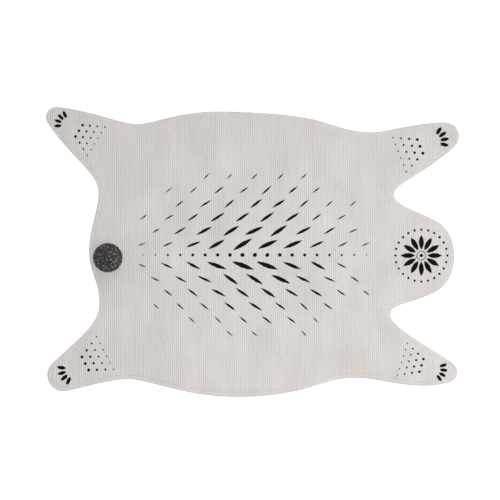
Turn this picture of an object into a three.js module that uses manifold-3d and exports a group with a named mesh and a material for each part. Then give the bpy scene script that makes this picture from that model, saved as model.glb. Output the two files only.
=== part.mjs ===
// Kids rug cut to the outline of a bear hide: one flat rib-woven cotton panel, with a yarn pompom for a tail.
// Millimetres, +Z up. The origin is the middle of the rug's box, on its underside, and +X points to the head.
import * as THREE from 'three';
import { mergeVertices } from 'three/addons/utils/BufferGeometryUtils.js';
import Module from 'manifold-3d';

// The woven panel
const CLOTH_THICKNESS = 6; // from the floor to the crest of a rib
const RIB_PITCH = 7;
const RIB_RELIEF = 1.6; // how far the valleys lie below the crests
const RIB_CREST_SHARE = 0.44; // share of the pitch that is crest
const EDGE_SOFTENING = 2.4; // the turned edge is eased by this much, above and below
const CURVE_STEPS = 8; // straight steps in each stretch of the outline
const CLEAR = 5; // how far a cutting body runs past what it cuts
const RIB_CLEAR = 0.2; // the rim's upper face stays this far above the crests

// The pompom
const POMPOM_RADIUS = 50;
const POMPOM_SEAT = { x: -486, y: -19 }; // the sewn-on point, just inside the hind edge
const POMPOM_SQUAT = 36; // height of its middle above the cloth it rests on
const CORE_RADIUS = 32; // the tightly tied middle that the locks grow from
const CORE_SIDES = 12;
const CORE_RINGS = 8;
const LOCK_COUNT = 220;
const LOCK_SIDES = 3;
const LOCK_ROOT_RADIUS = 3;
const LOCK_TIP_RADIUS = 2.6;
const LOCK_ROOT_DEPTH = 4; // how far a lock's root is sunk into the core
const LOCK_UNEVEN = 2.5; // how far the shortest lock stays behind the longest
const SEAM_GAP = 0.3; // between the pompom and the cloth

// The head and the four legs, anticlockwise from the head. Each row gives the tip, the way it points in
// degrees from +X, how far back its two shoulders are, how wide it is there, how fast its sides spread,
// and how far the side before the tip and the side after it run straight.
const LIMBS = [
  { name: 'head', x: 684, y: -14, aim: 0, reach: 70, width: 248, spread: 26, before: 95, after: 80 },
  { name: 'frontLeft', x: 697, y: 409, aim: 21, reach: 38, width: 94, spread: 20, before: 150, after: 100 },
  { name: 'hindLeft', x: -695.2, y: 474.7, aim: 149, reach: 24, width: 66, spread: 24, before: 140, after: 150 },
  { name: 'hindRight', x: -689, y: -442, aim: 207, reach: 38, width: 104, spread: 16, before: 150, after: 70 },
  { name: 'frontRight', x: 694, y: -414, aim: -11, reach: 42, width: 84, spread: 22, before: 110, after: 110 },
];

// The flanks between the limbs, in the same order. Each row gives a point on the edge, the way the edge
// runs there, and how far it keeps that way on both sides of the point.
const FLANKS = [
  { after: 'head', x: 481, y: 196, heading: 90, hold: 36 },
  { after: 'frontLeft', x: 400, y: 406, heading: 180, hold: 60 },
  { after: 'frontLeft', x: 225, y: 445, heading: 162, hold: 45 },
  { after: 'frontLeft', x: -110, y: 476, heading: 180, hold: 150 },
  { after: 'frontLeft', x: -390, y: 434, heading: 180, hold: 60 },
  { after: 'hindLeft', x: -522, y: 203, heading: -90, hold: 62 },
  { after: 'hindLeft', x: -554, y: 0, heading: -90, hold: 70 },
  { after: 'hindLeft', x: -519, y: -170, heading: -90, hold: 70 },
  { after: 'hindRight', x: -420, y: -431, heading: 0, hold: 60 },
  { after: 'hindRight', x: -60, y: -491, heading: 0, hold: 160 },
  { after: 'hindRight', x: 224, y: -450, heading: 16, hold: 40 },
  { after: 'hindRight', x: 359, y: -427, heading: 0, hold: 70 },
  { after: 'frontRight', x: 468, y: -212, heading: 90, hold: 38 },
];
const TIP_ROUNDNESS = 0.39; // handle of a tip's curve, as a share of the step from shoulder to tip

const wasm = await Module();
wasm.setup();

// Solids that are joined or cut
function toSolid(geometry) {
  geometry.deleteAttribute('normal');
  geometry.deleteAttribute('uv');
  const merged = mergeVertices(geometry);
  const mesh = new wasm.Mesh({
    numProp: 3,
    vertProperties: new Float32Array(merged.attributes.position.array),
    triVerts: new Uint32Array(merged.index.array),
  });
  return new wasm.Manifold(mesh);
}

function toGeometry(solid) {
  const mesh = solid.getMesh();
  const geometry = new THREE.BufferGeometry();
  geometry.setAttribute('position', new THREE.BufferAttribute(new Float32Array(mesh.vertProperties), 3));
  geometry.setIndex(new THREE.BufferAttribute(new Uint32Array(mesh.triVerts), 1));
  geometry.computeVertexNormals();
  return geometry;
}

// The outline
function heading(degrees) {
  const angle = THREE.MathUtils.degToRad(degrees);
  return new THREE.Vector2(Math.cos(angle), Math.sin(angle));
}

function limbStations(limb) {
  const tip = new THREE.Vector2(limb.x, limb.y);
  const middle = tip.clone().addScaledVector(heading(limb.aim), -limb.reach);
  const side = heading(limb.aim + 90).multiplyScalar(limb.width / 2);
  const round = TIP_ROUNDNESS * Math.hypot(limb.reach, limb.width / 2);
  return [
    { at: middle.clone().sub(side), way: heading(limb.aim + limb.spread), into: limb.before, out: round },
    { at: tip, way: heading(limb.aim + 90), into: round, out: round },
    { at: middle.clone().add(side), way: heading(limb.aim + 180 - limb.spread), into: round, out: limb.after },
  ];
}

function flankStations(limb) {
  return FLANKS.filter((row) => row.after === limb.name).map((row) => ({
    at: new THREE.Vector2(row.x, row.y),
    way: heading(row.heading),
    into: row.hold,
    out: row.hold,
  }));
}

function hideOutline() {
  const stations = LIMBS.flatMap((limb) => [...limbStations(limb), ...flankStations(limb)]);
  const shape = new THREE.Shape();
  shape.moveTo(stations[0].at.x, stations[0].at.y);
  stations.forEach((from, i) => {
    const to = stations[(i + 1) % stations.length];
    const leave = from.at.clone().addScaledVector(from.way, from.out);
    const arrive = to.at.clone().addScaledVector(to.way, -to.into);
    shape.bezierCurveTo(leave.x, leave.y, arrive.x, arrive.y, to.at.x, to.at.y);
  });
  return shape;
}

// The panel: the outline's rounded slab, cut by a corrugated body whose ribs run across the rug
function roundedSlab(outline) {
  const height = CLOTH_THICKNESS + RIB_CLEAR;
  const slab = new THREE.ExtrudeGeometry(outline, {
    depth: height - 2 * EDGE_SOFTENING,
    curveSegments: CURVE_STEPS,
    bevelThickness: EDGE_SOFTENING,
    bevelSize: EDGE_SOFTENING,
    bevelOffset: -EDGE_SOFTENING,
    bevelSegments: 1,
  });
  return slab.translate(0, 0, EDGE_SOFTENING);
}

function ribbedBody(box) {
  const first = Math.floor(box.min.x / RIB_PITCH) - 1;
  const last = Math.ceil(box.max.x / RIB_PITCH) + 1;
  const valley = CLOTH_THICKNESS - RIB_RELIEF;
  const section = new THREE.Shape();
  section.moveTo(first * RIB_PITCH, -CLEAR);
  section.lineTo(last * RIB_PITCH, -CLEAR);
  section.lineTo(last * RIB_PITCH, valley);
  for (let rib = last - 1; rib >= first; rib -= 1) {
    const crest = (rib + 0.5) * RIB_PITCH;
    const half = (RIB_CREST_SHARE * RIB_PITCH) / 2;
    section.lineTo(crest + half, CLOTH_THICKNESS);
    section.lineTo(crest - half, CLOTH_THICKNESS);
    section.lineTo(rib * RIB_PITCH, valley);
  }
  section.closePath();
  const width = box.max.y - box.min.y + 2 * CLEAR;
  const body = new THREE.ExtrudeGeometry(section, { depth: width, bevelEnabled: false });
  return body.rotateX(Math.PI / 2).translate(0, box.max.y + CLEAR, 0);
}

function rugPanel() {
  const slab = roundedSlab(hideOutline());
  slab.computeBoundingBox();
  const panel = toSolid(slab).intersect(toSolid(ribbedBody(slab.boundingBox)));
  const cotton = new THREE.MeshStandardMaterial({ color: 0xd7d1cc, roughness: 0.95, metalness: 0 });
  const mesh = new THREE.Mesh(toGeometry(panel), cotton);
  mesh.name = 'rug_panel';
  return mesh;
}

// The pompom: locks of yarn spread evenly over a ball, shorter beneath so that they end on the cloth
function lockDirection(i) {
  const goldenAngle = Math.PI * (3 - Math.sqrt(5));
  const z = 1 - (2 * i + 1) / LOCK_COUNT;
  const around = Math.sqrt(1 - z * z);
  return new THREE.Vector3(around * Math.cos(i * goldenAngle), around * Math.sin(i * goldenAngle), z);
}

function lockReach(direction, i) {
  const uneven = LOCK_UNEVEN * 0.5 * (1 + Math.sin(i * i));
  const free = POMPOM_RADIUS - uneven;
  if (direction.z >= 0) {
    return free;
  }
  const corner = LOCK_TIP_RADIUS * Math.hypot(direction.x, direction.y);
  return Math.min(free, (POMPOM_SQUAT - corner) / -direction.z);
}

function yarnLock(i) {
  const direction = lockDirection(i);
  const root = CORE_RADIUS - LOCK_ROOT_DEPTH;
  const tip = lockReach(direction, i);
  const lock = new THREE.CylinderGeometry(LOCK_TIP_RADIUS, LOCK_ROOT_RADIUS, tip - root, LOCK_SIDES);
  lock.translate(0, (tip + root) / 2, 0);
  return lock.applyQuaternion(new THREE.Quaternion().setFromUnitVectors(new THREE.Vector3(0, 1, 0), direction));
}

function tailPompom() {
  let ball = toSolid(new THREE.SphereGeometry(CORE_RADIUS, CORE_SIDES, CORE_RINGS));
  for (let i = 0; i < LOCK_COUNT; i += 1) {
    ball = ball.add(toSolid(yarnLock(i)));
  }
  const yarn = new THREE.MeshStandardMaterial({ color: 0x2f2c2b, roughness: 1, metalness: 0 });
  const mesh = new THREE.Mesh(toGeometry(ball), yarn);
  mesh.name = 'tail_pompom';
  mesh.position.set(POMPOM_SEAT.x, POMPOM_SEAT.y, CLOTH_THICKNESS + SEAM_GAP + POMPOM_SQUAT);
  return mesh;
}

const rug = new THREE.Group();
rug.name = 'hide_rug';
rug.add(rugPanel(), tailPompom());

export default rug;
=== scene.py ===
# %% [markdown]
# # A kids rug in the shape of a bear hide
# The real rug is one flat panel of rib-woven cotton, cut to the outline of a hide and hemmed, with a print
# on its upper side and a yarn pompom sewn on as a tail. It lies on the floor, so nothing on it moves.
# The frame holds two plain solids, the panel and the pompom. This lesson dresses both of them: the panel
# as a ribbed sheet that lies a little unevenly, and the pompom as a ball of cut yarn.

# %% Load the frame
import math

import bmesh
import bpy
import numpy as np
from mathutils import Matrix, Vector, geometry, kdtree


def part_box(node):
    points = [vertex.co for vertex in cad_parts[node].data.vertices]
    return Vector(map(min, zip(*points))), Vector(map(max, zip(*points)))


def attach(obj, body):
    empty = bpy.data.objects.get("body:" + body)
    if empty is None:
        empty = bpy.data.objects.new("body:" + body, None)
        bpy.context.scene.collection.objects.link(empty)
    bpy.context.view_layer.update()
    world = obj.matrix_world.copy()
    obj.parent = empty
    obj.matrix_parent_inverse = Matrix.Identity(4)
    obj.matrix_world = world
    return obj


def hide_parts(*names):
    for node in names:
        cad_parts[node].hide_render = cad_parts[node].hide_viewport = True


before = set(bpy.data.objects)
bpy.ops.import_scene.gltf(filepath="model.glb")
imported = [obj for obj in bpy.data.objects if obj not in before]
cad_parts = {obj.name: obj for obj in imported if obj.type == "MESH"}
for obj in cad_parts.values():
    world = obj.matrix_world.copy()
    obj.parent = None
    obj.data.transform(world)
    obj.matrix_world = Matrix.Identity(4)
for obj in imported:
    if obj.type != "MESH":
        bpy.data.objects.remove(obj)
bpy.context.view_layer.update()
MM = 0.001
print("frame nodes:", sorted(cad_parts))

# %% [markdown]
# ## The outline
# A hide rug is cut by hand around a paper pattern, so its legs differ a little from each other. The edge
# could be traced point by point, but a few stations are easier to read and to change: every limb has a tip
# and two shoulders, and every flank between two limbs has the points where the edge turns. A Bezier curve
# through the stations, with a handle for how far the edge keeps its way, gives the smooth cut.

# %% Limbs and flanks, in millimetres and degrees from +X, anticlockwise from the head
LIMBS = {
    "head": dict(tip=(684, -14), aim=0, reach=70, width=248, spread=26, before=95, after=80),
    "front_left": dict(tip=(697, 409), aim=21, reach=38, width=94, spread=20, before=150, after=100),
    "hind_left": dict(tip=(-695.2, 474.7), aim=149, reach=24, width=66, spread=24, before=140, after=150),
    "hind_right": dict(tip=(-689, -442), aim=207, reach=38, width=104, spread=16, before=150, after=70),
    "front_right": dict(tip=(694, -414), aim=-11, reach=42, width=84, spread=22, before=110, after=110),
}
FLANKS = {
    "head": [dict(at=(481, 196), heading=90, hold=36)],
    "front_left": [
        dict(at=(400, 406), heading=180, hold=60),
        dict(at=(225, 445), heading=162, hold=45),
        dict(at=(-110, 476), heading=180, hold=150),
        dict(at=(-390, 434), heading=180, hold=60),
    ],
    "hind_left": [
        dict(at=(-522, 203), heading=-90, hold=62),
        dict(at=(-554, 0), heading=-90, hold=70),
        dict(at=(-519, -170), heading=-90, hold=70),
    ],
    "hind_right": [
        dict(at=(-420, -431), heading=0, hold=60),
        dict(at=(-60, -491), heading=0, hold=160),
        dict(at=(224, -450), heading=16, hold=40),
        dict(at=(359, -427), heading=0, hold=70),
    ],
    "front_right": [dict(at=(468, -212), heading=90, hold=38)],
}
TIP_ROUNDNESS = 0.39
STRETCH_STEPS = 40


def heading(degrees):
    angle = math.radians(degrees)
    return Vector((math.cos(angle), math.sin(angle)))


def limb_stations(limb):
    tip = Vector(limb["tip"])
    aim = limb["aim"]
    middle = tip - heading(aim) * limb["reach"]
    side = heading(aim + 90) * limb["width"] / 2
    curl = TIP_ROUNDNESS * math.hypot(limb["reach"], limb["width"] / 2)
    return [
        (middle - side, heading(aim + limb["spread"]), limb["before"], curl),
        (tip, heading(aim + 90), curl, curl),
        (middle + side, heading(aim + 180 - limb["spread"]), curl, limb["after"]),
    ]


def hide_outline():
    stations = []
    for name, limb in LIMBS.items():
        stations += limb_stations(limb)
        for turn in FLANKS[name]:
            stations.append((Vector(turn["at"]), heading(turn["heading"]), turn["hold"], turn["hold"]))
    points = []
    for here, there in zip(stations, stations[1:] + stations[:1]):
        start, way, _, leave = here
        end, next_way, arrive, _ = there
        stretch = geometry.interpolate_bezier(
            start, start + way * leave, end - next_way * arrive, end, STRETCH_STEPS + 1)
        points += [(p.x * MM, p.y * MM) for p in stretch[:-1]]
    return np.array(points)


def even_steps(path, step):
    """Points at even steps along a closed path."""
    closed = np.vstack([path, path[:1]])
    run = np.concatenate([[0], np.cumsum(np.linalg.norm(np.diff(closed, axis=0), axis=1))])
    places = np.linspace(0, run[-1], round(run[-1] / step), endpoint=False)
    return np.stack([np.interp(places, run, closed[:, i]) for i in (0, 1)], axis=1)


def inward_ways(path):
    """Which way is into the cloth at each point of a closed path."""
    ahead = np.roll(path, -1, axis=0) - np.roll(path, 1, axis=0)
    ahead /= np.linalg.norm(ahead, axis=1)[:, None]
    return np.stack([-ahead[:, 1], ahead[:, 0]], axis=1)


outline = hide_outline()
inward = inward_ways(outline)
panel_low, panel_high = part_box("rug_panel")
print("outline box", outline.min(axis=0), outline.max(axis=0), "panel box", panel_low, panel_high)

# %% [markdown]
# ## The ribbed cloth
# The weave stands up in ribs that run across the rug, one every 7 mm. A bump map alone would leave the
# edge straight in a low view, so the ribs are real: a grid with eight columns to each rib, raised into
# round cords, on top of a flat underside. A slab with a rounded rim, made by rings around the outline,
# then trims it, as a knife trims the woven length.

# %% A corrugated length of cloth, larger than the rug
CREST = panel_high[2]
RIB_PITCH = 7 * MM
RIB_RELIEF = 1.6 * MM
RIB_COLUMNS = 8
RIB_FULLNESS = 0.75  # below 1, a rib is fuller than a plain wave
ROW_STEP = 25 * MM
MARGIN = 2 * RIB_PITCH


def mesh_object(name, points, faces):
    mesh = bpy.data.meshes.new(name)
    mesh.from_pydata([tuple(p) for p in points], [], faces)
    mesh.validate()
    piece = bpy.data.objects.new(name, mesh)
    bpy.context.collection.objects.link(piece)
    return piece


def grid_faces(first, columns, rows, flip=False):
    faces = []
    for c in range(columns - 1):
        for r in range(rows - 1):
            a = first + c * rows + r
            face = [a, a + rows, a + rows + 1, a + 1]
            faces.append(face[::-1] if flip else face)
    return faces


def ring_faces(first, rings, sides):
    """Faces between closed rings of points, and one over each end."""
    faces = []
    for ring in range(rings - 1):
        for k in range(sides):
            a = first + ring * sides + k
            b = first + ring * sides + (k + 1) % sides
            faces.append([a, b, b + sides, a + sides])
    last = first + (rings - 1) * sides
    faces.append([first + k for k in reversed(range(sides))])
    faces.append([last + k for k in range(sides)])
    return faces


def rib_arch(x):
    """Height of the weave above the valleys, from 0 to 1, at a place along the rug."""
    return np.abs(np.sin(np.pi * x / RIB_PITCH)) ** RIB_FULLNESS


def woven_length():
    ribs = math.ceil((panel_high[0] + MARGIN) / RIB_PITCH)
    top_x = np.linspace(-ribs, ribs, 2 * ribs * RIB_COLUMNS + 1) * RIB_PITCH
    low_x = np.linspace(-ribs, ribs, 2 * ribs + 1) * RIB_PITCH
    half = panel_high[1] + MARGIN
    y = np.linspace(-half, half, 2 * math.ceil(half / ROW_STEP) + 1)
    rows = len(y)
    top_z = CREST - RIB_RELIEF * (1 - rib_arch(top_x))
    top = [(px, py, pz) for px, pz in zip(top_x, top_z) for py in y]
    low = [(px, py, 0) for px in low_x for py in y]
    base = len(top)
    faces = grid_faces(0, len(top_x), rows) + grid_faces(base, len(low_x), rows, flip=True)
    last_top = (len(top_x) - 1) * rows
    last_low = base + (len(low_x) - 1) * rows
    for r in range(rows - 1):
        faces.append([r, r + 1, base + r + 1, base + r])
        faces.append([last_top + r + 1, last_top + r, last_low + r, last_low + r + 1])
    for r, turn in ((0, 1), (rows - 1, -1)):
        upper = [c * rows + r for c in range(len(top_x))]
        lower = [base + c * rows + r for c in range(len(low_x))]
        faces.append((lower + upper[::-1])[::turn])
    return mesh_object("woven_length", top + low, faces)


woven = woven_length()
print("woven length:", len(woven.data.polygons), "faces")

# %% The rounded slab that trims it and presses the hem
RIM_OVER = dict(inset=4.4 * MM, fall=3.2 * MM)
RIM_UNDER = dict(inset=1.6 * MM, fall=1.6 * MM)
RIM_STEPS = 4
RIM_CLEAR = 0.15 * MM
HEM_WIDTH = 12 * MM
HEM_PRESS = 1.15 * MM
SEAM_DEPTH = 1.5 * MM
SEAM_HALF = 1.8 * MM


def rim_rings():
    """Inset and height of each ring of the slab, from the underside round the rim to the upper face."""
    low, high = -RIM_CLEAR, CREST - HEM_PRESS
    turns = [math.pi / 2 * step / RIM_STEPS for step in range(RIM_STEPS + 1)]
    arc = [(1 - math.sin(turn), 1 - math.cos(turn)) for turn in turns]
    under = [(RIM_UNDER["inset"] * s, low + RIM_UNDER["fall"] * c) for s, c in arc]
    over = [(RIM_OVER["inset"] * c, high - RIM_OVER["fall"] * s) for s, c in arc]
    seam = [(HEM_WIDTH - SEAM_HALF, high), (HEM_WIDTH, CREST - SEAM_DEPTH)]
    return under + over + seam + [(HEM_WIDTH + SEAM_HALF, CREST + RIM_CLEAR)]


def trimming_slab():
    rings = rim_rings()
    points = []
    for inset, z in rings:
        points += [(x, y, z) for x, y in outline + inward * inset]
    return mesh_object("trimming_slab", points, ring_faces(0, len(rings), len(outline)))


def trimmed(cloth, knife):
    trim = cloth.modifiers.new("trim", "BOOLEAN")
    trim.operation = "INTERSECT"
    trim.solver = "MANIFOLD"
    trim.object = knife
    graph = bpy.context.evaluated_depsgraph_get()
    mesh = bpy.data.meshes.new_from_object(cloth.evaluated_get(graph))
    for used in (cloth, knife):
        bpy.data.objects.remove(used)
    panel = bpy.data.objects.new("hide_panel", mesh)
    bpy.context.collection.objects.link(panel)
    return panel


panel = trimmed(woven, trimming_slab())
print("trimmed panel:", len(panel.data.vertices), "points,", len(panel.data.polygons), "faces")

# %% [markdown]
# ## How the cloth lies
# A woven rug is never quite flat: its ribs wander, some are fuller than others, and here and there the
# cloth stands a few millimetres off the floor. A cloth simulation would crumple such a stiff weave, so the
# unevenness is listed, as soft swells with their own sizes. The flat place of each point is kept on
# the mesh first, so that the print and the weave move with the cloth.

# %% Wandering ribs and soft swells
SWELLS = [  # middle, half length, half width, turn in degrees and lift, in millimetres
    dict(at=(-330, 300), long=190, wide=70, turn=70, lift=3.3),
    dict(at=(-120, 330), long=230, wide=60, turn=98, lift=3.9),
    dict(at=(190, 260), long=220, wide=75, turn=80, lift=3.0),
    dict(at=(330, -170), long=200, wide=70, turn=102, lift=3.6),
    dict(at=(60, -330), long=210, wide=65, turn=84, lift=3.3),
    dict(at=(-250, -280), long=180, wide=60, turn=100, lift=3.6),
    dict(at=(-60, -505), long=260, wide=45, turn=2, lift=3.0),
    dict(at=(600, -430), long=120, wide=60, turn=-20, lift=4.2),
    dict(at=(-640, 440), long=100, wide=60, turn=150, lift=4.5),
    dict(at=(610, 90), long=90, wide=60, turn=40, lift=2.7),
    dict(at=(-235, -462), long=48, wide=26, turn=60, lift=2.5),
    dict(at=(20, -486), long=42, wide=22, turn=105, lift=2.2),
    dict(at=(165, -462), long=46, wide=24, turn=70, lift=2.5),
    dict(at=(-60, 470), long=44, wide=24, turn=80, lift=2.1),
    dict(at=(120, 462), long=40, wide=22, turn=110, lift=2.2),
    dict(at=(480, 420), long=46, wide=24, turn=100, lift=2.2),
]
WANDER = 0.9 * MM
WANDER_WAVES = [  # share of the wander, wave length in metres, lean along the rug and start
    dict(share=0.65, length=0.62, lean=5, start=0),
    dict(share=0.35, length=0.23, lean=9, start=1.3),
]
FULLNESS_SPREAD = 0.4 * MM
FULLNESS_PACE = (0.15, 0.5)
EDGE_STEP = 1 * MM
# EDGE_BAND and EDGE_FULL set how far in from the cut edge the painted shade along it reaches
EDGE_BAND = 5 * MM
EDGE_FULL = 1.5  # in bands, how far in the greyer edge ends
RIB_COUNT = 2 * math.ceil(panel_high[0] / RIB_PITCH) + 4
rng = np.random.RandomState(11)
rib_phase = rng.uniform(0, 2 * np.pi, RIB_COUNT)
rib_pace = rng.uniform(*FULLNESS_PACE, RIB_COUNT)


def swell_lift(x, y):
    """How far the cloth stands off the floor at a place."""
    lift = np.zeros_like(x)
    for swell in SWELLS:
        way = heading(swell["turn"])
        dx = x - swell["at"][0] * MM
        dy = y - swell["at"][1] * MM
        along = (dx * way.x + dy * way.y) / (swell["long"] * MM)
        across = (dy * way.x - dx * way.y) / (swell["wide"] * MM)
        lift += swell["lift"] * MM * np.exp(-along ** 2 - across ** 2)
    return lift


def rib_wander(x, y):
    """How far a rib strays along the rug from its straight line: a slow wave and a quick one."""
    stray = np.zeros_like(x)
    for wave in WANDER_WAVES:
        turn = 2 * np.pi * y / wave["length"] + wave["lean"] * x + wave["start"]
        stray += wave["share"] * np.sin(turn)
    return WANDER * stray


def rib_fullness(x, y):
    """How much fuller or slacker than the others a rib is, changing slowly along it."""
    rib = np.floor(x / RIB_PITCH).astype(int) + RIB_COUNT // 2
    return FULLNESS_SPREAD * np.sin(2 * np.pi * y / rib_pace[rib] + rib_phase[rib]) * rib_arch(x)


def laid(flat):
    """Where points of the flat cloth come to lie. The underside only follows the swells."""
    x, y, z = flat.T
    upper = np.clip(z / CREST, 0, 1) ** 2
    lift = swell_lift(x, y) + rib_fullness(x, y) * upper
    return np.stack([x + rib_wander(x, y), y, z + lift], axis=1)


def points_of(piece):
    values = np.empty(len(piece.data.vertices) * 3)
    piece.data.vertices.foreach_get("co", values)
    return values.reshape(-1, 3)


def lay_cloth(piece):
    flat = points_of(piece)
    kept = piece.data.attributes.new("flat_place", "FLOAT_VECTOR", "POINT")
    kept.data.foreach_set("vector", flat.ravel())
    piece.data.vertices.foreach_set("co", laid(flat).ravel())
    piece.data.shade_smooth()
    piece.data.update()
    return flat


def nearest_edge(flat):
    """For each point, how far it is from the cut edge and which way is out of the cloth there."""
    edge = even_steps(outline, EDGE_STEP)
    outward = -inward_ways(edge)
    tree = kdtree.KDTree(len(edge))
    for i, (x, y) in enumerate(edge):
        tree.insert((x, y, 0), i)
    tree.balance()
    found = [tree.find((x, y, 0)) for x, y, _ in flat]
    return np.array([f[2] for f in found]), outward[[f[1] for f in found]]


def mark_edge(piece, far):
    """Keeps two shares on the mesh: how near each point is to the cut edge, and if it is on the hem."""
    near = piece.data.attributes.new("edge_near", "FLOAT", "POINT")
    near.data.foreach_set("value", np.clip(EDGE_FULL - far / EDGE_BAND, 0, 1))
    hem = piece.data.attributes.new("on_hem", "FLOAT", "POINT")
    hem.data.foreach_set("value", np.clip((HEM_WIDTH + SEAM_HALF - far) / (2 * SEAM_HALF), 0, 1))


flat_places = lay_cloth(panel)
edge_far, edge_outward = nearest_edge(flat_places)
mark_edge(panel, edge_far)
print("highest point of the cloth:", round(points_of(panel)[:, 2].max() / MM, 2), "mm")

# %% [markdown]
# ## The hem's stitches
# The edge is turned under and held by one row of stitches, which lies in the pressed groove. A dashed line
# in the material would look printed, so each stitch is a short tube of thread, arched between its two
# holes. The same tube maker serves the pompom's yarn below.

# %% A row of thread along the hem
STITCH_STEP = 4.6 * MM
STITCH_SHARE = 0.82  # share of a step that is thread
STITCH_ARCH = 0.26 * MM
THREAD_RADII = [0.22 * MM, 0.42 * MM, 0.42 * MM, 0.22 * MM]
THREAD_SIDES = 6
UPRIGHT = 0.9  # steeper ways are crossed with +X, the others with +Z


def spokes(ways):
    """Two directions across each way, at right angles to it and to each other."""
    upright = np.abs(ways[:, 2:3]) > UPRIGHT
    side = np.cross(ways, np.where(upright, [[1, 0, 0]], [[0, 0, 1]]))
    side /= np.linalg.norm(side, axis=1)[:, None]
    return side, np.cross(ways, side)


def straight(starts, ends, rings):
    """Straight paths from starts to ends, with places for the rings of a tube."""
    share = np.linspace(0, 1, rings)[None, :, None]
    return starts[:, None] + (ends - starts)[:, None] * share


def tubes(paths, radii, sides, spin=0.0):
    """Closed tubes along paths, an array of tubes by rings by place, with a radius for each ring.

    spin turns each tube's corners about its own middle line, in radians.
    """
    count, rings, _ = paths.shape
    ways = paths[:, -1] - paths[:, 0]
    side, other = spokes(ways / np.linalg.norm(ways, axis=1)[:, None])
    points = np.empty((count, rings, sides, 3))
    for k in range(sides):
        angle = np.broadcast_to(spin + 2 * np.pi * k / sides, count)[:, None]
        spoke = side * np.cos(angle) + other * np.sin(angle)
        points[:, :, k] = paths + np.multiply.outer(radii, spoke).transpose(1, 0, 2)
    faces = []
    for first in range(0, count * rings * sides, rings * sides):
        faces += ring_faces(first, rings, sides)
    return points.reshape(-1, 3), faces


def hem_stitches():
    holes = even_steps(outline + inward * HEM_WIDTH, STITCH_STEP)
    ahead_holes = holes + (np.roll(holes, -1, axis=0) - holes) * STITCH_SHARE
    depth = np.full((len(holes), 1), CREST - SEAM_DEPTH + THREAD_RADII[0])
    starts, ends = (laid(np.hstack([place, depth])) for place in (holes, ahead_holes))
    paths = straight(starts, ends, len(THREAD_RADII))
    paths[:, 1:-1, 2] += STITCH_ARCH
    row = mesh_object("hem_stitches", *tubes(paths, THREAD_RADII, THREAD_SIDES))
    row.data.shade_smooth()
    return row, len(holes)


stitches, stitch_count = hem_stitches()
print("hem:", stitch_count, "stitches")

# %% [markdown]
# ## The pompom
# A pompom is yarn wound on a ring, tied in the middle, cut and trimmed round. One ball with a bump map
# would have a hard rim, and hair particles aren't kept as a mesh. So each cut end is a yarn of three twisted
# plies, tubes that grow from a core and part at the tip, where the twist opens. The tubes are written as
# arrays and joined in one mesh, with loose hairs between them. Beneath, they end on the cloth. The core is
# a piece of its own, because light is let through the yarn later but not through the tied middle.

# %% Cut yarn ends around a core
pompom_low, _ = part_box("tail_pompom")
POMPOM_RADIUS = 50 * MM
POMPOM_SEAT = (-486 * MM, -19 * MM)
POMPOM_SQUAT = 36 * MM
POMPOM_MIDDLE = np.array([*POMPOM_SEAT, pompom_low[2] + POMPOM_SQUAT])
CORE_RADIUS = 33 * MM
CORE_DIVISIONS = 3
LEAST_DROP = 1e-6
YARN_ENDS = 2000
YARN_ROOT = 27 * MM
YARN_STRAY = 0.03
YARN_BEND = 0.9 * MM
TRIM_UNEVEN = 1.0 * MM
PLIES = 3
PLY_SHARES = [0, 0.5, 0.86, 1]  # where the rings are along a ply
PLY_APART = [0.5 * MM, 0.8 * MM, 1.0 * MM, 1.35 * MM]
PLY_RADII = [0.6 * MM, 0.9 * MM, 1.15 * MM, 1.0 * MM]
PLY_TWIST = 2.4
PLY_UNEVEN = 1.5 * MM
PLY_SIDES = 4
FUZZ_HAIRS = 2000
FUZZ_ROOT = 44 * MM
FUZZ_STRAY = 0.05
FUZZ_LEAN = 0.07
FUZZ_RADII = [0.16 * MM, 0.06 * MM]
FUZZ_SIDES = 3
FUZZ_TONE = 0.08
# cut tips are painted lighter than the sides as a painted highlight, a share of them pale as painted glints;
# the sides beside a tip keep only part of that tone, the rest painted shade
SIDE_TONE = (0, 0.06)  # tones run from 0, black, to 1, grey
LIT_TIP_TONE = (0.04, 0.26)
GLINT_SHARE = 0.11
GLINT_TONE = (0.8, 1.6)
PLY_TONE = (0.5, 1.1)
SHADED_SIDE_SHARE = 0.18  # share of the tip's tone on the sides beside it


def even_directions(count, stray):
    """Directions spread evenly over a ball by the golden angle, each a little astray."""
    i = np.arange(count)
    z = 1 - (2 * i + 1) / count
    around = np.sqrt(1 - z * z)
    angle = i * math.pi * (3 - math.sqrt(5))
    ways = np.stack([around * np.cos(angle), around * np.sin(angle), z], axis=1)
    ways += rng.normal(0, stray, ways.shape)
    return ways / np.linalg.norm(ways, axis=1)[:, None]


def reach_above_cloth(ways, free, radius):
    """How far a yarn end goes: to the trimmed ball, or beneath it to the cloth."""
    room = POMPOM_MIDDLE[2] - pompom_low[2]
    drop = np.maximum(-ways[:, 2], LEAST_DROP)
    return np.minimum(free, (room - radius * np.sqrt(1 - ways[:, 2] ** 2)) / drop)


def tied_core():
    ball = bmesh.new()
    bmesh.ops.create_icosphere(ball, subdivisions=CORE_DIVISIONS, radius=CORE_RADIUS)
    points = np.array([v.co for v in ball.verts])
    faces = [[v.index for v in f.verts] for f in ball.faces]
    ball.free()
    middle = mesh_object("pompom_core", points + POMPOM_MIDDLE, faces)
    middle.data.shade_smooth()
    return middle


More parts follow.
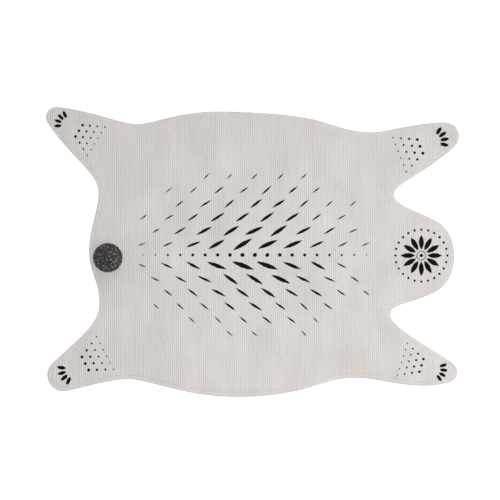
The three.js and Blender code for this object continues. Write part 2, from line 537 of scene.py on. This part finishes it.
def yarn_ends():
    """Yarns of three plies, which turn about a bent middle line and part at the cut tip."""
    ways = even_directions(YARN_ENDS, YARN_STRAY)
    free = POMPOM_RADIUS - np.abs(rng.normal(0, TRIM_UNEVEN, YARN_ENDS))
    reach = reach_above_cloth(ways, free, PLY_APART[-1] + PLY_RADII[-1])
    side, other = spokes(ways)
    phase = rng.uniform(0, 2 * np.pi, YARN_ENDS)
    bend = rng.normal(0, YARN_BEND, ways.shape)
    paths = np.empty((YARN_ENDS, PLIES, len(PLY_SHARES), 3))
    for ring, share in enumerate(PLY_SHARES):
        far = YARN_ROOT + (reach - YARN_ROOT) * share
        middle = ways * far[:, None] + bend * math.sin(math.pi * share)
        for ply in range(PLIES):
            turn = (phase + 2 * np.pi * ply / PLIES + PLY_TWIST * share)[:, None]
            paths[:, ply, ring] = middle + PLY_APART[ring] * (side * np.cos(turn) + other * np.sin(turn))
    paths[:, :, -1] -= ways[:, None] * rng.uniform(0, PLY_UNEVEN, (YARN_ENDS, PLIES, 1))
    spin = rng.uniform(0, 2 * np.pi, YARN_ENDS * PLIES)
    return tubes(paths.reshape(-1, len(PLY_SHARES), 3), PLY_RADII, PLY_SIDES, spin)


def loose_fuzz():
    ways = even_directions(FUZZ_HAIRS, FUZZ_STRAY)
    leaning = ways + rng.normal(0, FUZZ_LEAN, ways.shape)
    leaning /= np.linalg.norm(leaning, axis=1)[:, None]
    free = POMPOM_RADIUS + rng.normal(0, TRIM_UNEVEN, FUZZ_HAIRS)
    starts = ways * reach_above_cloth(ways, np.full(FUZZ_HAIRS, FUZZ_ROOT), FUZZ_RADII[0])[:, None]
    ends = leaning * reach_above_cloth(leaning, free, FUZZ_RADII[0])[:, None]
    return tubes(straight(starts, ends, len(FUZZ_RADII)), FUZZ_RADII, FUZZ_SIDES)


def yarn_tones():
    """A tone for each face of the plies: dark sides, and cut tips lighter by a random amount, as a painted
    highlight, some of them pale as painted glints. The sides beside a tip keep a share of it, the rest
    painted shade.
    """
    side_faces = (len(PLY_SHARES) - 1) * PLY_SIDES
    tones = np.repeat(rng.uniform(*SIDE_TONE, (YARN_ENDS * PLIES, 1)), side_faces + 2, axis=1)
    tips = rng.uniform(*LIT_TIP_TONE, YARN_ENDS)
    glinting = rng.uniform(0, 1, YARN_ENDS) < GLINT_SHARE
    tips[glinting] = rng.uniform(*GLINT_TONE, glinting.sum())
    tips = np.repeat(tips, PLIES) * rng.uniform(*PLY_TONE, YARN_ENDS * PLIES)
    tones[:, side_faces - PLY_SIDES:side_faces] = SHADED_SIDE_SHARE * tips[:, None]
    tones[:, -1] = tips
    return np.clip(tones, 0, 1).ravel()


def pompom_ball():
    points, faces, tones = [], [], []
    for made, tone in ((yarn_ends(), yarn_tones()), (loose_fuzz(), FUZZ_TONE)):
        first = sum(len(p) for p in points)
        points.append(made[0])
        faces += [[first + v for v in face] for face in made[1]]
        tones.append(np.broadcast_to(tone, len(made[1])))
    ball = mesh_object("yarn_pompom", np.concatenate(points) + POMPOM_MIDDLE, faces)
    shade = ball.data.attributes.new("yarn_tone", "FLOAT", "FACE")
    tones = np.concatenate(tones)
    shade.data.foreach_set("value", tones)
    ball.data.shade_smooth()
    return ball, tones


core = tied_core()
pompom, pompom_tones = pompom_ball()
pompom_top = points_of(pompom)[:, 2].max()
print("pompom:", len(pompom.data.polygons), "faces, top at", round(pompom_top / MM, 1), "mm")

# %% [markdown]
# ## Maps for the bake
# The colours are baked on a picture later, so each piece needs a flat map. An unwrap by seams would cut the
# cloth in strips at every rib and give each yarn a patch too small to hold its colour. The cloth is flat, so
# its upper side goes on the map as it was cut, with the rim turned out, and its underside smaller above it.
# The faces of yarn and thread lie as small tiles instead, placed by their tone, so that those which share
# a spot also share a colour.

# %% The cloth laid flat, and tiles of yarn and thread
UPPER_MAP = dict(scale=0.69, middle=(0.5, 0.36))
UNDER_MAP = dict(scale=0.27, middle=(0.25, 0.85))
UNDER_FACING = -0.2  # faces that point down more than this are underside
RIM_TURN = CREST - 1.5 * RIB_RELIEF
TILE = 0.018
TILE_SPAN = 0.94


def corner_faces(mesh):
    """For each corner of the mesh: its face, its number in that face and the face's corner count."""
    counts = np.empty(len(mesh.polygons), dtype=int)
    firsts = np.empty(len(mesh.polygons), dtype=int)
    mesh.polygons.foreach_get("loop_total", counts)
    mesh.polygons.foreach_get("loop_start", firsts)
    face = np.repeat(np.arange(len(counts)), counts)
    return face, np.arange(len(face)) - firsts[face], counts[face]


def keep_map(mesh, places):
    mesh.uv_layers.new(name="OFBake").uv.foreach_set("vector", places.astype(np.float32).ravel())


def cloth_map(mesh, flat, outward):
    """The upper side and the rim, which is turned out by its depth, and the underside apart from them."""
    corners = np.empty(len(mesh.loops), dtype=int)
    mesh.loops.foreach_get("vertex_index", corners)
    normals = np.empty(len(mesh.polygons) * 3, dtype=np.float32)
    mesh.polygons.foreach_get("normal", normals)
    face, _, _ = corner_faces(mesh)
    under = (normals[2::3] < UNDER_FACING)[face]
    turned_out = np.clip(RIM_TURN - flat[:, 2:3], 0, None)
    upper = (flat[:, :2] + outward * turned_out) * UPPER_MAP["scale"] + UPPER_MAP["middle"]
    lower = flat[:, :2] * UNDER_MAP["scale"] + UNDER_MAP["middle"]
    keep_map(mesh, np.where(under[:, None], lower[corners], upper[corners]))


def tile_map(mesh, tones):
    """Each face is a small regular tile. Its tone sets how far along it lies, and its number how high."""
    face, number, count = corner_faces(mesh)
    golden = (math.sqrt(5) - 1) / 2
    high = np.arange(len(tones)) * golden % 1
    middles = 0.5 + TILE_SPAN * (np.stack([tones, high], axis=1) - 0.5)
    turn = 2 * np.pi * number / count
    keep_map(mesh, middles[face] + TILE * np.stack([np.cos(turn), np.sin(turn)], axis=1))


cloth_map(panel.data, flat_places, edge_outward)
tile_map(stitches.data, rng.uniform(0, 1, len(stitches.data.polygons)))
tile_map(pompom.data, pompom_tones)
tile_map(core.data, np.zeros(len(core.data.polygons)))
print("maps on", [piece.name for piece in (panel, stitches, pompom, core)])

# %% [markdown]
# ## Formulas as nodes
# The print and the weave are drawn by arithmetic on the cloth's flat place, so they stay sharp at any
# distance. Math nodes placed one by one are hard to read. A small helper writes them as nested calls
# instead, and a second one opens a node group with named inputs and outputs.

# %% Helpers for node trees
class Formula:
    """Writes arithmetic into a node tree: a call adds one Math node and gives its output."""

    def __init__(self, tree):
        self.tree = tree

    def __call__(self, operation, *values):
        node = self.add("Math")
        node.operation = operation
        self.feed(node.inputs, values)
        return node.outputs[0]

    def add(self, kind, *values):
        node = self.tree.nodes.new("ShaderNode" + kind)
        self.feed(node.inputs, values)
        return node

    def feed(self, sockets, values):
        for socket, value in zip(sockets, values):
            if isinstance(value, bpy.types.NodeSocket):
                self.tree.links.new(value, socket)
            else:
                socket.default_value = value

    def fill(self, node, values):
        """Feeds a node's inputs by their names."""
        self.feed([node.inputs[name] for name in values], values.values())

    def clamp(self, value):
        return self.add("Clamp", value).outputs[0]

    def mix(self, share, start, end):
        return self("MULTIPLY_ADD", share, self("SUBTRACT", end, start), start)

    def blend(self, share, start, end):
        """A colour between two others."""
        node = self.add("Mix")
        node.data_type = "RGBA"
        self.feed([node.inputs[i] for i in (0, 6, 7)], (share, start, end))
        return node.outputs[2]

    def vector(self, x, y, z):
        return self.add("CombineXYZ", x, y, z).outputs[0]

    def parts(self, vector):
        return list(self.add("SeparateXYZ", vector).outputs)

    def length(self, x, y):
        return self("SQRT", self("ADD", self("MULTIPLY", x, x), self("MULTIPLY", y, y)))

    def noise(self, vector, scale, detail=2.0, rough=0.5):
        node = self.add("TexNoise")
        self.fill(node, {"Vector": vector, "Scale": scale, "Detail": detail, "Roughness": rough})
        return node.outputs["Fac"]

    def chance(self, vector):
        return self.parts(self.add("TexWhiteNoise", vector).outputs["Color"])

    def attribute(self, name, output):
        node = self.add("Attribute")
        node.attribute_name = name
        return node.outputs[output]

    def group(self, tree, *values):
        node = self.add("Group")
        node.node_tree = tree
        self.feed(node.inputs, values)
        return node.outputs[0] if len(node.outputs) == 1 else list(node.outputs)


def open_group(name, inputs, outputs):
    tree = bpy.data.node_groups.new(name, "ShaderNodeTree")
    for label, kind in inputs:
        tree.interface.new_socket(label, in_out="INPUT", socket_type=kind)
    for label, kind in outputs:
        tree.interface.new_socket(label, in_out="OUTPUT", socket_type=kind)
    taken = tree.nodes.new("NodeGroupInput").outputs
    given = tree.nodes.new("NodeGroupOutput").inputs
    return tree, Formula(tree), taken, given


FLOAT = "NodeSocketFloat"
VECTOR = "NodeSocketVector"
print("helpers ready")

# %% [markdown]
# ## Printed marks
# The print is made of two marks, as two lino blocks would make it: a pointed leaf and an oval. Each is a
# group that takes a place in the mark's own directions and gives the ink there, with a soft edge under a
# millimetre wide, as ink has when it creeps into cotton.

# %% The leaf and the oval
INK_EDGE = 0.9
LEAST_WIDTH = 0.2
NOT_ZERO = 0.01


def mark_group(name, depth_in):
    """A group for one mark. depth_in gives how far inside the mark's edge a place is, in millimetres."""
    sizes = [("Along", FLOAT), ("Across", FLOAT), ("Half Length", FLOAT), ("Half Width", FLOAT)]
    tree, f, taken, given = open_group(name, sizes, [("Ink", FLOAT)])
    along, across, long, wide = taken[:4]
    depth = depth_in(f, f("DIVIDE", along, f("MAXIMUM", long, NOT_ZERO)), across, wide)
    ink = f.clamp(f("MULTIPLY_ADD", depth, 1 / INK_EDGE, 0.5))
    f.feed(given, [f("MULTIPLY", ink, f("GREATER_THAN", wide, LEAST_WIDTH))])
    return tree


def leaf_depth(f, share, across, wide):
    inside = f("MULTIPLY", wide, f("SUBTRACT", 1.0, f("MULTIPLY", share, share)))
    return f("SUBTRACT", inside, f("ABSOLUTE", across))


def oval_depth(f, share, across, wide):
    far = f.length(share, f("DIVIDE", across, f("MAXIMUM", wide, NOT_ZERO)))
    return f("MULTIPLY", f("SUBTRACT", 1.0, far), wide)


leaf_mark = mark_group("leaf_mark", leaf_depth)
oval_mark = mark_group("oval_mark", oval_depth)
print("marks:", leaf_mark.name, oval_mark.name)

# %% [markdown]
# ## The layout of the print
# The back carries a long oval of slanted leaves in a half-drop repeat, mirrored on a row of beads, with
# the largest leaves in the middle. The paws have a fan of toes and a cuff of dots, and the head a rosette.
# A picture would need an image file, so the repeats are folded by arithmetic: one cell is drawn, and the
# place in the cell is found by dividing and taking the floor. White noise for each cell moves the marks a
# little, as hand printing does.

# %% Leaves and beads on the back, in millimetres
BACK = dict(x=8, y=-10, half_length=415, half_width=285)
LEAF_STEP = dict(along=84, across=46)
LEAF_SIZE = dict(long=(13, 43), wide=(2.0, 9.0))
LEAF_SLANT = (0.42, 0.40)
LEAF_TAPER = 1.5
LEAF_LEAST = 0.02
LEAF_STRAY = dict(sway=9.0, tilt=0.22, grow=0.16)
BEAD = dict(step=42, half=7.0)
SPINE_GAP = 13


def half_drop(f, row):
    """Every second row of a repeat is moved by half a step."""
    return f("MULTIPLY", f("FLOORED_MODULO", row, 2.0), 0.5)


def astray(f, chance, reach, value):
    """The value, moved either way by up to half the reach."""
    return f("MULTIPLY_ADD", f("SUBTRACT", chance, 0.5), reach, value)


def back_leaves(f, x, y):
    out = f("SUBTRACT", f("ABSOLUTE", y), SPINE_GAP)
    row = f("FLOOR", f("DIVIDE", out, LEAF_STEP["across"]))
    drop = half_drop(f, row)
    place = f("ADD", f("DIVIDE", x, LEAF_STEP["along"]), drop)
    column = f("FLOOR", place)
    middle_x = f("MULTIPLY", f("SUBTRACT", f("ADD", column, 0.5), drop), LEAF_STEP["along"])
    middle_y = f("MULTIPLY", f("ADD", row, 0.5), LEAF_STEP["across"])
    sway, tilt, grow = f.chance(f.vector(column, row, f("SIGN", y)))
    u = f("SUBTRACT", x, astray(f, sway, LEAF_STRAY["sway"], middle_x))
    v = f("SUBTRACT", out, middle_y)
    far = f.length(f("DIVIDE", middle_x, BACK["half_length"]), f("DIVIDE", middle_y, BACK["half_width"]))
    size = f("SUBTRACT", astray(f, grow, LEAF_STRAY["grow"], 1.0), far)
    drawn = f("MULTIPLY", f("GREATER_THAN", size, LEAF_LEAST), f("GREATER_THAN", row, -0.5))
    slant = f("MULTIPLY_ADD", f("DIVIDE", middle_y, BACK["half_width"]), LEAF_SLANT[1], LEAF_SLANT[0])
    slant = astray(f, tilt, LEAF_STRAY["tilt"], slant)
    cosine, sine = f("COSINE", slant), f("SINE", slant)
    along = f("ADD", f("MULTIPLY", u, cosine), f("MULTIPLY", v, sine))
    across = f("SUBTRACT", f("MULTIPLY", v, cosine), f("MULTIPLY", u, sine))
    long = f.mix(f.clamp(size), *LEAF_SIZE["long"])
    wide = f("MULTIPLY", drawn, f.mix(f("POWER", f.clamp(size), LEAF_TAPER), *LEAF_SIZE["wide"]))
    return f.group(leaf_mark, along, across, long, wide)


def spine_beads(f, x, y):
    middle = f("MULTIPLY", f("ROUND", f("DIVIDE", x, BEAD["step"])), BEAD["step"])
    size = f.clamp(f("SUBTRACT", 1.0, f("DIVIDE", f("ABSOLUTE", middle), BACK["half_length"])))
    half = f("MULTIPLY", f("SQRT", size), BEAD["half"])
    return f.group(oval_mark, f("SUBTRACT", x, middle), y, half, half)


# %% Toes and cuffs on the paws, and the rosette on the head
PAWS = {
    "front_left": dict(turn=22, shift=1, scale=1.0),
    "hind_left": dict(turn=149, shift=0, scale=0.9),
    "hind_right": dict(turn=208, shift=1, scale=1.0),
    "front_right": dict(turn=-18, shift=-10, scale=0.9),
}
TOE_FAN = (-36, -12, 12, 36)
TOE = dict(pivot=95, swing=43, long=14, wide=6.2)
CUFF = dict(start=126, step=25, rows=4, dot_step=25, half=(5.2, 2.6), reach=(46, 9))
ROSETTE = dict(x=572, y=-12, petals=12, middle=45, long=25, wide=8.5, ring=(15, 2.6), seed=6)
ROSETTE_DOTS = dict(count=24, middle=88, half=4.0)
INK_STRAY = dict(fineness=120.0, reach=3.0, layer=0.7)


def paw_marks(f, x, y, limb, paw):
    tip = LIMBS[limb]["tip"]
    way = heading(paw["turn"])
    dx = f("DIVIDE", f("SUBTRACT", x, tip[0]), paw["scale"])
    dy = f("DIVIDE", f("SUBTRACT", y, tip[1]), paw["scale"])
    back = f("MULTIPLY_ADD", dx, -way.x, f("MULTIPLY", dy, -way.y))
    side = f("SUBTRACT", f("MULTIPLY_ADD", dy, way.x, f("MULTIPLY", dx, -way.y)), paw["shift"])
    ink = cuff_dots(f, back, side)
    for toe in TOE_FAN:
        point = heading(toe)
        u = f("SUBTRACT", TOE["pivot"], back)
        along = f("SUBTRACT", f("MULTIPLY_ADD", u, point.x, f("MULTIPLY", side, point.y)), TOE["swing"])
        across = f("MULTIPLY_ADD", side, point.x, f("MULTIPLY", u, -point.y))
        ink = f("MAXIMUM", ink, f.group(oval_mark, along, across, TOE["long"], TOE["wide"]))
    return ink


def cuff_dots(f, back, side):
    row = f("FLOOR", f("DIVIDE", f("SUBTRACT", back, CUFF["start"]), CUFF["step"]))
    drop = half_drop(f, row)
    cell = f("SUBTRACT", f("ROUND", f("ADD", f("DIVIDE", side, CUFF["dot_step"]), drop)), drop)
    middle = f("MULTIPLY", cell, CUFF["dot_step"])
    u = f("SUBTRACT", back, f("MULTIPLY_ADD", f("ADD", row, 0.5), CUFF["step"], CUFF["start"]))
    share = f("DIVIDE", row, CUFF["rows"] - 1)
    half = f.mix(share, *CUFF["half"])
    reach = f("MULTIPLY_ADD", row, CUFF["reach"][1], CUFF["reach"][0])
    drawn = f("MULTIPLY", f("GREATER_THAN", row, -0.5), f("LESS_THAN", row, CUFF["rows"] - 0.5))
    drawn = f("MULTIPLY", drawn, f("LESS_THAN", f("ABSOLUTE", middle), reach))
    half = f("MULTIPLY", half, drawn)
    return f.group(oval_mark, u, f("SUBTRACT", side, middle), half, half)


def turned_copies(f, far, angle, count):
    """Folds a full turn into equal wedges: gives the place along and across the nearest wedge's middle."""
    wedge = 2 * math.pi / count
    nearest = f("MULTIPLY", f("ROUND", f("DIVIDE", angle, wedge)), wedge)
    turn = f("SUBTRACT", angle, nearest)
    return f("MULTIPLY", far, f("COSINE", turn)), f("MULTIPLY", far, f("SINE", turn))


def head_rosette(f, x, y):
    dx = f("SUBTRACT", x, ROSETTE["x"])
    dy = f("SUBTRACT", y, ROSETTE["y"])
    far = f.length(dx, dy)
    angle = f("ARCTAN2", dy, dx)
    along, across = turned_copies(f, far, angle, ROSETTE["petals"])
    petal = f("SUBTRACT", along, ROSETTE["middle"])
    ink = f.group(leaf_mark, petal, across, ROSETTE["long"], ROSETTE["wide"])
    radius, width = ROSETTE["ring"]
    ring = f("SUBTRACT", width / 2 + INK_EDGE / 2, f("ABSOLUTE", f("SUBTRACT", far, radius)))
    ink = f("MAXIMUM", ink, f.clamp(f("DIVIDE", ring, INK_EDGE)))
    ink = f("MAXIMUM", ink, f.group(oval_mark, dx, dy, ROSETTE["seed"], ROSETTE["seed"]))
    along, across = turned_copies(f, far, angle, ROSETTE_DOTS["count"])
    dot = f("SUBTRACT", along, ROSETTE_DOTS["middle"])
    dots = f.group(oval_mark, dot, across, ROSETTE_DOTS["half"], ROSETTE_DOTS["half"])
    return f("MAXIMUM", ink, dots)


def ink_place(f, raw, vector):
    """A place in millimetres, a little astray, as ink creeps along the fibres."""
    creep = f.noise(vector, INK_STRAY["fineness"])
    return astray(f, creep, INK_STRAY["reach"], f("MULTIPLY", raw, 1 / MM))


def print_group():
    tree, f, taken, given = open_group("hide_print", [("Flat Place", VECTOR)], [("Ink", FLOAT)])
    raw_x, raw_y, height = f.parts(taken[0])
    x = ink_place(f, raw_x, taken[0])
    y = ink_place(f, raw_y, f.vector(raw_y, raw_x, INK_STRAY["layer"]))
    back_x, back_y = f("SUBTRACT", x, BACK["x"]), f("SUBTRACT", y, BACK["y"])
    ink = f("MAXIMUM", back_leaves(f, back_x, back_y), spine_beads(f, back_x, back_y))
    for limb, paw in PAWS.items():
        ink = f("MAXIMUM", ink, paw_marks(f, x, y, limb, paw))
    ink = f("MAXIMUM", ink, head_rosette(f, x, y))
    upper_side = f("GREATER_THAN", height, CREST * 0.5)
    f.feed(given, [f("MULTIPLY", ink, upper_side)])
    return tree


hide_print = print_group()
print("print group:", len(hide_print.nodes), "nodes")

# %% [markdown]
# ## Fibres
# Cotton and pompom yarn are both spun from fibres, so they share one effect: a fine, drawn-out noise that
# gives a fleck of lighter or darker fibre and a height for the bump. It is a group, placed in each material
# with its own size.

# %% The fibre group
FLECK = dict(drawn_out=0.35, detail=3.0, rough=0.6)
FUZZ = dict(finer=1.7, detail=4.0, rough=0.65)


def fibre_group():
    tree, f, taken, given = open_group(
        "spun_fibre", [("Place", VECTOR), ("Fineness", FLOAT)], [("Fleck", FLOAT), ("Height", FLOAT)])
    place, fine = taken[:2]
    x, y, z = f.parts(place)
    drawn_out = f.vector(x, f("MULTIPLY", y, FLECK["drawn_out"]), z)
    fleck = f.noise(drawn_out, fine, FLECK["detail"], FLECK["rough"])
    fuzz = f.noise(place, f("MULTIPLY", fine, FUZZ["finer"]), FUZZ["detail"], FUZZ["rough"])
    f.feed(given, [fleck, fuzz])
    return tree


spun_fibre = fibre_group()


def new_material(name):
    material = bpy.data.materials.new(name)
    material.use_nodes = True
    tree = material.node_tree
    return material, Formula(tree), tree.nodes["Principled BSDF"]


def cover(f, surface, colour, roughness, height, relief):
    """Gives the surface a colour, a roughness and a bump. relief is the bump's strength and distance."""
    strength, distance = relief
    bump = f.add("Bump")
    f.fill(bump, {"Strength": strength, "Distance": distance, "Height": height})
    f.fill(surface, {"Base Color": colour, "Roughness": roughness, "Normal": bump.outputs["Normal"]})


print("fibre group ready")

# %% [markdown]
# ## The cotton
# The cloth is undyed cotton: a warm, very light grey with paler and darker fibres, a soft unevenness of
# tone over a hand's breadth, and small cross threads that bind each rib. Between the ribs and at the cut
# edge it is painted a little greyer, as painted shade. The ink lies on top of it, a little thinner in the
# valleys between ribs, where the printing block hardly reaches.

# %% Cotton with its print
COTTON_PALE = (0.69, 0.647, 0.628, 1)
COTTON_DARK = (0.53, 0.498, 0.485, 1)
INK = (0.004, 0.0036, 0.0033, 1)
COTTON = dict(fineness=900.0, rough=(0.84, 0.98), relief=(0.5, 0.5 * MM))
COTTON_GLOSS = {"Sheen Weight": 0.03, "Sheen Roughness": 0.6, "Specular IOR Level": 0.03}
THREAD = dict(fineness=1500.0, rough=(0.7, 0.9), relief=(0.4, 0.2 * MM))
BLOTCH = dict(fineness=7.0, detail=3.0)
BAND = dict(fineness=17.0, drawn_out=0.3, layer=0.4)
TONE = dict(soft=0.6, fleck=0.5, middle=0.85, contrast=1.3)
# painted shade: how much darker the cloth is painted between the ribs
VALLEY_SHADE = dict(narrow=2.0, least=0.1, pressed=0.8)
# painted shade along the cut edge, broken up by noise
EDGE_SHADE = dict(fineness=22.0, share=0.7)
INK_COVER = dict(rounding=0.5, rib=(0.95, 1.02), fleck=(0.96, 1.06))
BINDING_STEP = 2.4 * MM
WEAVE_HEIGHT = dict(binding=0.6, fuzz=0.5)


def cloth_tone(f, place, x, y, fleck):
    """Blotches, bands along the ribs and flecks of fibre."""
    bands = f.noise(f.vector(x, f("MULTIPLY", y, BAND["drawn_out"]), BAND["layer"]), BAND["fineness"])
    soft = f("ADD", f.noise(place, BLOTCH["fineness"], BLOTCH["detail"]), bands)
    return f("ADD", f("MULTIPLY", soft, TONE["soft"]), f("MULTIPLY", fleck, TONE["fleck"]))


def cloth_shade(f, place, rib, tone):
    """How dark the cloth is, from 0 to 1, with painted shade between the ribs and at the cut edge.
    The painted shade between the ribs is fainter where the hem is pressed.
    """
    unpressed = f("MULTIPLY_ADD", f.attribute("on_hem", "Fac"), -VALLEY_SHADE["pressed"], 1.0)
    # painted shade between the ribs, taken from the rib's height
    valley_shade = f("MULTIPLY", f("POWER", f("SUBTRACT", 1.0, rib), VALLEY_SHADE["narrow"]), unpressed)
    # painted shade along the cut edge, darker nearer the edge
    edge_shade = f("MULTIPLY", f.attribute("edge_near", "Fac"), f.noise(place, EDGE_SHADE["fineness"]))
    ground = f("ADD", valley_shade, VALLEY_SHADE["least"])
    shade = f("MULTIPLY_ADD", f("SUBTRACT", tone, TONE["middle"]), TONE["contrast"], ground)
    return f.clamp(f("MULTIPLY_ADD", edge_shade, EDGE_SHADE["share"], shade))


def ink_cover(f, place, rib, fleck):
    on_rib = f.mix(f("POWER", rib, INK_COVER["rounding"]), *INK_COVER["rib"])
    covered = f("MULTIPLY", f.group(hide_print, place), on_rib)
    return f.clamp(f("MULTIPLY", covered, f.mix(fleck, *INK_COVER["fleck"])))


def weave_height(f, x, y, fuzz):
    """Cross threads, moved by half a step from one rib to the next, and fuzz on top."""
    start = f("MULTIPLY", half_drop(f, f("FLOOR", f("DIVIDE", x, RIB_PITCH))), math.pi)
    binding = f("ABSOLUTE", f("SINE", f("MULTIPLY_ADD", y, math.pi / BINDING_STEP, start)))
    binding = f("MULTIPLY", binding, WEAVE_HEIGHT["binding"])
    return f("ADD", binding, f("MULTIPLY", fuzz, WEAVE_HEIGHT["fuzz"]))


def cotton_material():
    material, f, surface = new_material("printed_cotton")
    place = f.attribute("flat_place", "Vector")
    x, y, _ = f.parts(place)
    fleck, fuzz = f.group(spun_fibre, place, COTTON["fineness"])
    rib = f("ABSOLUTE", f("SINE", f("MULTIPLY", x, math.pi / RIB_PITCH)))
    shade = cloth_shade(f, place, rib, cloth_tone(f, place, x, y, fleck))
    cloth = f.blend(shade, COTTON_PALE, COTTON_DARK)
    printed = f.blend(ink_cover(f, place, rib, fleck), cloth, INK)
    roughness = f.mix(fleck, *COTTON["rough"])
    cover(f, surface, printed, roughness, weave_height(f, x, y, fuzz), COTTON["relief"])
    f.fill(surface, COTTON_GLOSS)
    return material


def thread_material():
    material, f, surface = new_material("hem_thread")
    place = f.add("TexCoord").outputs["Object"]
    fleck, fuzz = f.group(spun_fibre, place, THREAD["fineness"])
    colour = f.blend(fleck, COTTON_PALE, COTTON_DARK)
    cover(f, surface, colour, f.mix(fleck, *THREAD["rough"]), fuzz, THREAD["relief"])
    return material


panel.data.materials.clear()
panel.data.materials.append(cotton_material())
stitches.data.materials.append(thread_material())
print("cotton on", panel.name, "and", stitches.name)

# %% [markdown]
# ## The pompom's yarn
# The pompom looks black from a step away, but its cut ends catch the light: some are charcoal, some nearly
# grey. That light is painted into the colour: each yarn end holds its own tone on the mesh, paler at the
# cut tip as a painted highlight and darker on the sides beside it as painted shade, and the fibre group
# breaks it up. The core holds no tone, so it stays black.

# %% Charcoal yarn
YARN_BLACK = (0.031, 0.028, 0.0298, 1)
YARN_GREY_AND_GLINT = (0.74, 0.72, 0.74, 1)
YARN = dict(fineness=700.0, rough=(0.75, 0.95), relief=(0.6, 0.4 * MM), uneven=(0.5, 1.5), specular=0.15)


def yarn_material():
    material, f, surface = new_material("charcoal_yarn")
    place = f.add("TexCoord").outputs["Object"]
    fleck, fuzz = f.group(spun_fibre, place, YARN["fineness"])
    tone = f.attribute("yarn_tone", "Fac")
    share = f.clamp(f("MULTIPLY", tone, f.mix(fleck, *YARN["uneven"])))
    # the grey end of this blend is reached by the painted glints on the cut tips
    colour = f.blend(share, YARN_BLACK, YARN_GREY_AND_GLINT)
    cover(f, surface, colour, f.mix(fleck, *YARN["rough"]), fuzz, YARN["relief"])
    f.fill(surface, {"Specular IOR Level": YARN["specular"]})
    return material


charcoal_yarn = yarn_material()
pompom.data.materials.append(charcoal_yarn)
core.data.materials.append(charcoal_yarn)
print("yarn on", pompom.name, "and", core.name)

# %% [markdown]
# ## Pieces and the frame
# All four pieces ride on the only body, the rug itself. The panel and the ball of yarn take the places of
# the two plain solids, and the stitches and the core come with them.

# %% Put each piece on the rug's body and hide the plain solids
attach(panel, "root")
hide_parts("rug_panel")
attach(stitches, "root")
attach(pompom, "root")
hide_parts("tail_pompom")
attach(core, "root")

# %% [markdown]
# ## Floor, light and camera
# The rug is seen from straight above on white, as in a studio. A large softbox above its head end lights the
# cloth, a low sun of wide angle stands for the window beyond the rug's left side and brings out the ribs'
# ends and the rim, and a white sky fills the rest. A floor lit to pure white would throw too much light up,
# so it is a plain light grey that glows for the camera alone. A ball so close to the cloth would throw a
# broad shadow there, which studio pictures take away with fill cards. Here the softbox shines past the yarn,
# and only the core keeps the cloth under it dark.

# %% Studio
RUG_LENGTH = 1400 * MM
RUG_LENGTH_PX = 413
RUG_MIDDLE_PX = (252.5, 252.0)
FRAME_PX = 500
PX = RUG_LENGTH / RUG_LENGTH_PX
CAMERA_HEIGHT = 4.0
SENSOR_WIDTH = 36
WHITE = (1, 1, 1, 1)
FLOOR_GREY = (0.6, 0.6, 0.6, 1)
FLOOR = dict(half=40.0, drop=0.2 * MM, rough=0.9, glow=0.55)
WINDOW = dict(place=(0.6, 2.0, 1.6), power=0.6)
WINDOW_ANGLE = 40
SOFTBOX = dict(place=(0.65, -0.4, 2.7), power=72)
SOFTBOX_SIZE = 3.0
SKY_STRENGTH = 0.34


def studio_floor():
    half = FLOOR["half"]
    corners = [(-half, -half, 0), (half, -half, 0), (half, half, 0), (-half, half, 0)]
    floor = mesh_object("studio_floor", corners, [[0, 1, 2, 3]])
    floor.location.z = -FLOOR["drop"]
    material, f, surface = new_material("white_floor")
    seen = f.add("LightPath").outputs["Is Camera Ray"]
    glow = f("MULTIPLY", seen, FLOOR["glow"])
    f.fill(surface, {"Base Color": FLOOR_GREY, "Roughness": FLOOR["rough"]})
    f.fill(surface, {"Emission Color": WHITE, "Emission Strength": glow})
    floor.data.materials.append(material)


def lamp(name, kind, place, power):
    light = bpy.data.lights.new(name, kind)
    light.energy = power
    stand = bpy.data.objects.new(name, light)
    stand.location = place
    stand.rotation_euler = (-Vector(place)).to_track_quat("-Z", "Y").to_euler()
    bpy.context.collection.objects.link(stand)
    return stand


def shine_past(light, piece):
    """The light isn't blocked by the piece, so the piece throws no shadow of it on the cloth."""
    past = bpy.data.collections.new(light.name + "_past")
    past.objects.link(piece)
    past.collection_objects[0].light_linking.link_state = "EXCLUDE"
    light.light_linking.blocker_collection = past


def white_sky():
    world = bpy.data.worlds.new("white_sky")
    world.use_nodes = True
    background = world.node_tree.nodes["Background"]
    background.inputs["Color"].default_value = WHITE
    background.inputs["Strength"].default_value = SKY_STRENGTH
    bpy.context.scene.world = world


def top_camera():
    camera = bpy.data.cameras.new("top_camera")
    camera.sensor_width = SENSOR_WIDTH
    camera.lens = SENSOR_WIDTH * (CAMERA_HEIGHT - CREST) / (FRAME_PX * PX)
    eye = bpy.data.objects.new("top_camera", camera)
    across, down = (RUG_MIDDLE_PX[i] - FRAME_PX / 2 for i in (0, 1))
    eye.location = (-across * PX, down * PX, CAMERA_HEIGHT)
    bpy.context.collection.objects.link(eye)
    bpy.context.scene.camera = eye


studio_floor()
window = lamp("window", "SUN", **WINDOW)
window.data.angle = math.radians(WINDOW_ANGLE)
softbox = lamp("softbox", "AREA", **SOFTBOX)
softbox.data.size = SOFTBOX_SIZE
softbox.visible_camera = False
shine_past(softbox, pompom)
white_sky()
top_camera()
bpy.context.scene.view_settings.view_transform = "Standard"
print("studio ready")
